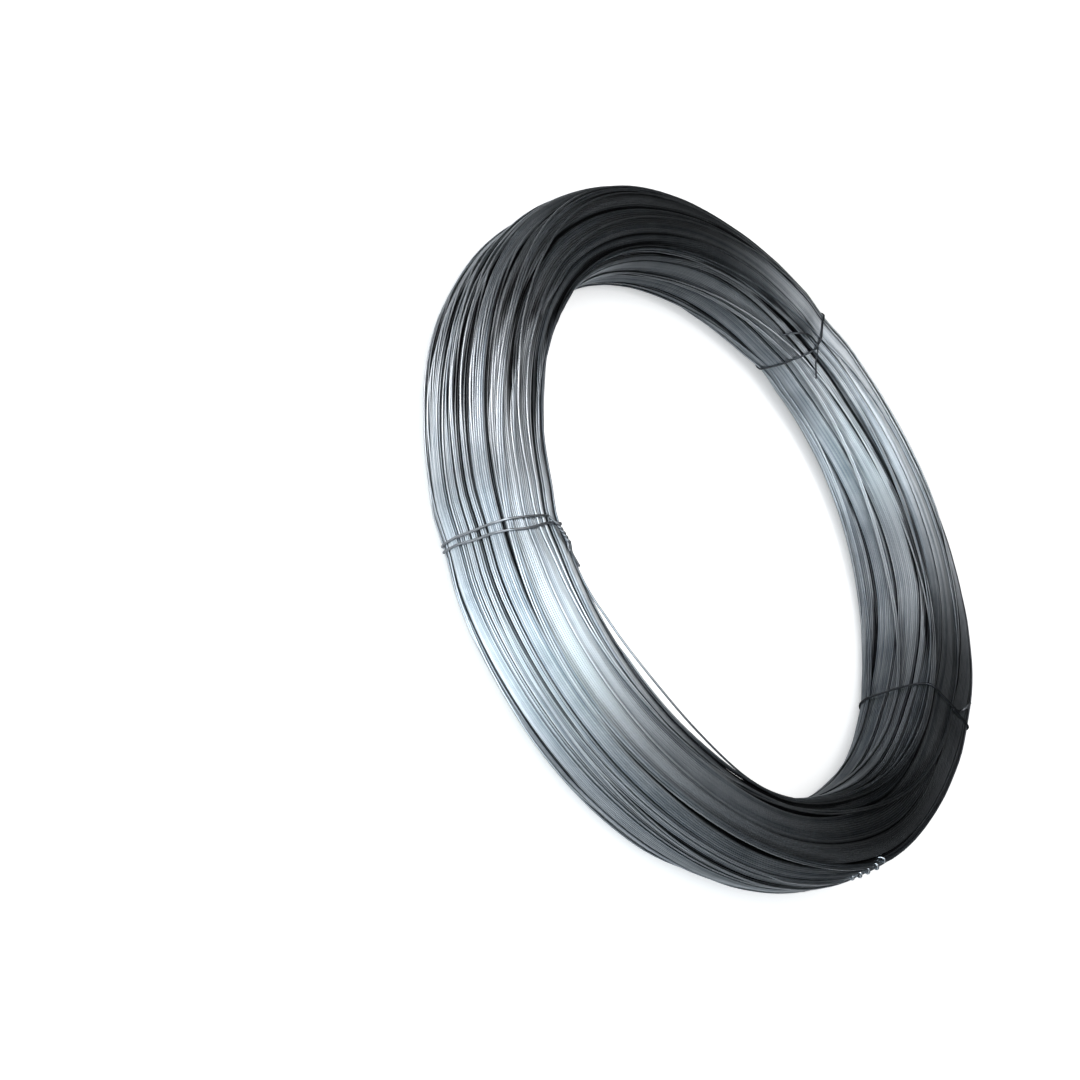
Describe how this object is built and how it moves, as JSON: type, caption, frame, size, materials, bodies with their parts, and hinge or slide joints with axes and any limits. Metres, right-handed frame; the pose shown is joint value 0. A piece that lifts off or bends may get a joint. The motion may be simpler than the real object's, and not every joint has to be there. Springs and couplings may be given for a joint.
{
  "type": "coil of binding wire",
  "caption": "Coil of bright steel binding wire lying flat, a round bundle of turns held together by three wire ties.",
  "frame": {"origin": "centre of the level face that the coil lies on, on the coil's axis", "axes": "+Z along the coil's axis, upwards; +X and +Y across the coil, with the doubled tie near -Y"},
  "size_m": [0.5499, 0.55, 0.0803],
  "materials": {
    "wire": "drawn bright steel, slightly dull",
    "tie_wire": "drawn steel, darkened"
  },
  "bodies": {
    "root": {"wire_coil": "wire", "tie_wire_double": "tie_wire", "tie_wire_curled": "tie_wire", "tie_wire_single": "tie_wire"}
  },
  "joints": []
}
